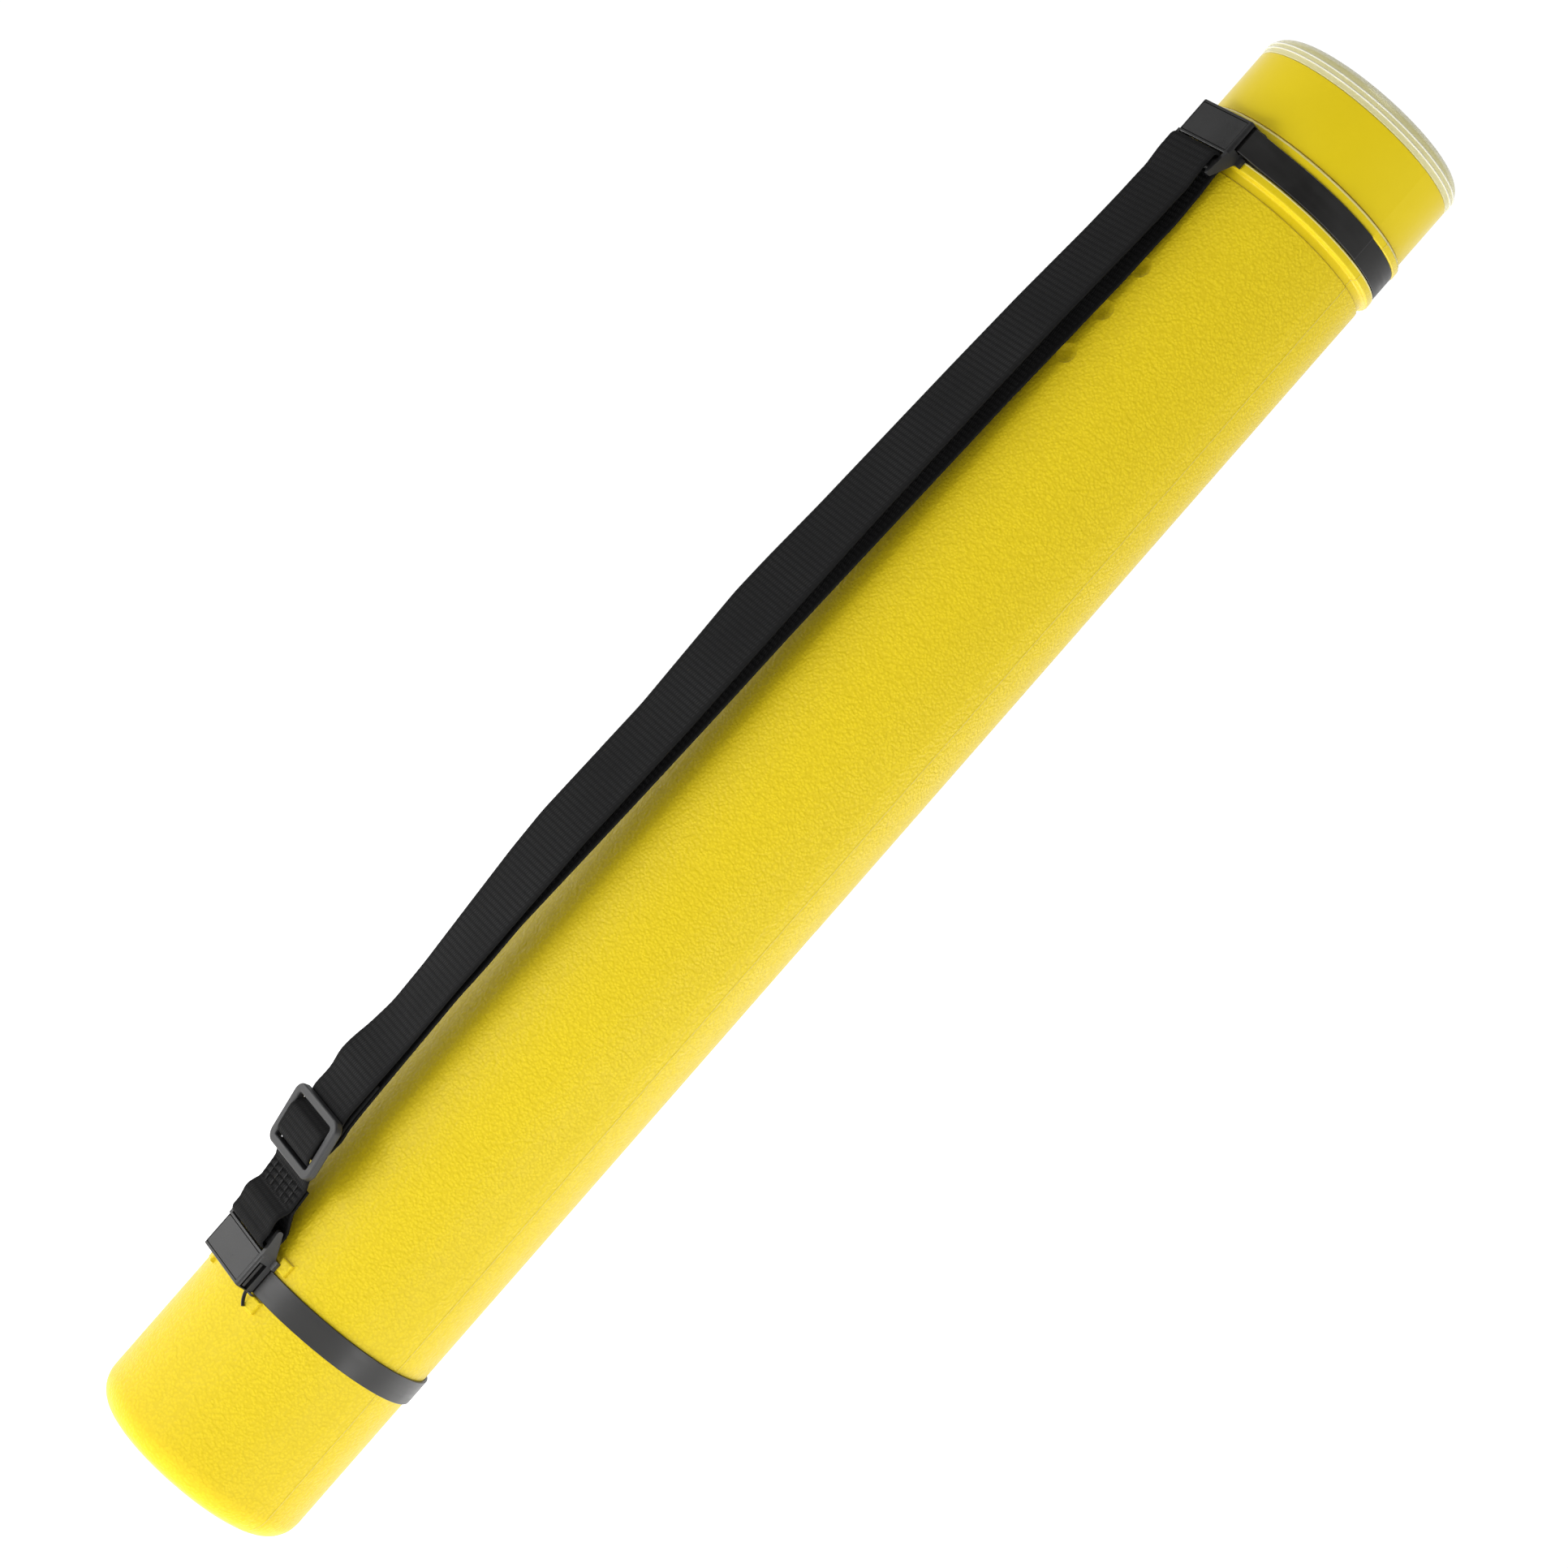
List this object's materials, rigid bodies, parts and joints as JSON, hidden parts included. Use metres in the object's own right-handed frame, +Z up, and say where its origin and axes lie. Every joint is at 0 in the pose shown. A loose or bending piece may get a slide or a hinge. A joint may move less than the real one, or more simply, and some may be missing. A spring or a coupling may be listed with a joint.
{
  "type": "drawing tube",
  "caption": "Telescopic plastic drawing tube with a translucent press-on cap and an adjustable webbing shoulder strap held by two clipped bands.",
  "frame": {"origin": "centre of the flat closed base, on the surface the tube stands on", "axes": "+Z up the tube towards the cap, -Y towards the strap and its clips, +X to the side where the band tails end"},
  "size_m": [0.0884, 0.1063, 0.629],
  "materials": {
    "grained_yellow": "leather grain",
    "smooth_yellow": "satin",
    "cap_plastic": "translucent",
    "band_plastic": "satin",
    "clip_plastic": "satin",
    "slider_plastic": "satin",
    "webbing": "ribbed weave",
    "thread": "twisted thread"
  },
  "bodies": {
    "outer": {"outer_tube": "grained_yellow", "upper_band": "band_plastic", "lower_band": "band_plastic", "upper_clip_body": "clip_plastic", "lower_clip_body": "clip_plastic", "slider": "slider_plastic", "strap_webbing": "webbing", "lower_stitching": "thread", "slider_stitching": "thread"},
    "inner": {"inner_tube": "smooth_yellow"},
    "cap": {"cap": "cap_plastic"},
    "upper_pawl": {"upper_clip_pawl": "clip_plastic"},
    "lower_pawl": {"lower_clip_pawl": "clip_plastic"}
  },
  "joints": [
    {"name": "telescope", "type": "slide", "parent": "outer", "child": "inner", "axis": [0, 0, 1], "range_m": [0, 0.4268]},
    {"name": "cap_pull", "type": "slide", "parent": "inner", "child": "cap", "axis": [0, 0, 1], "range_m": [0, 0.05]},
    {"name": "upper_pawl_flex", "type": "hinge", "parent": "outer", "child": "upper_pawl", "pos_m": [0.0127, -0.0486, 0.58405], "axis": [0, 0, 1], "range_deg": [0, 5], "stiffness_Nm_per_rad": 0.02},
    {"name": "lower_pawl_flex", "type": "hinge", "parent": "outer", "child": "lower_pawl", "pos_m": [0.0127, -0.0486, 0.07425], "axis": [0, 0, 1], "range_deg": [0, 5], "stiffness_Nm_per_rad": 0.02}
  ]
}
